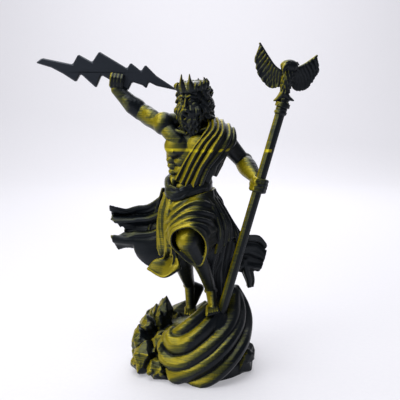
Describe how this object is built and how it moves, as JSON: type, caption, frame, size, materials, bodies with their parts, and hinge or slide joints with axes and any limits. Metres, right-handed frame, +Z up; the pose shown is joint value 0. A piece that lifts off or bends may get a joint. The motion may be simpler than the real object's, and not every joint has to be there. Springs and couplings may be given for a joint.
{
  "type": "statue",
  "caption": "Two-tone printed statue of a bearded god in a leafy crown, striding over a swirling cloud, with a zigzag thunderbolt raised in one hand and an eagle-topped staff in the other.",
  "frame": {"origin": "centre of the cloud base's flat underside", "axes": "+Z up, +X towards the staff, +Y away from the side the figure faces"},
  "size_m": [0.1986, 0.088, 0.2314],
  "materials": {
    "cloud_base": "silky printed plastic, gold from one side and blue-black from the other",
    "zeus_figure": "silky printed plastic, gold from one side and blue-black from the other",
    "eagle_staff": "silky printed plastic, gold from one side and blue-black from the other",
    "thunderbolt": "silky printed plastic, its blue-black side towards the viewer"
  },
  "bodies": {
    "root": {"cloud_base": "cloud_base", "zeus_figure": "zeus_figure", "eagle_staff": "eagle_staff", "thunderbolt": "thunderbolt"}
  },
  "joints": []
}
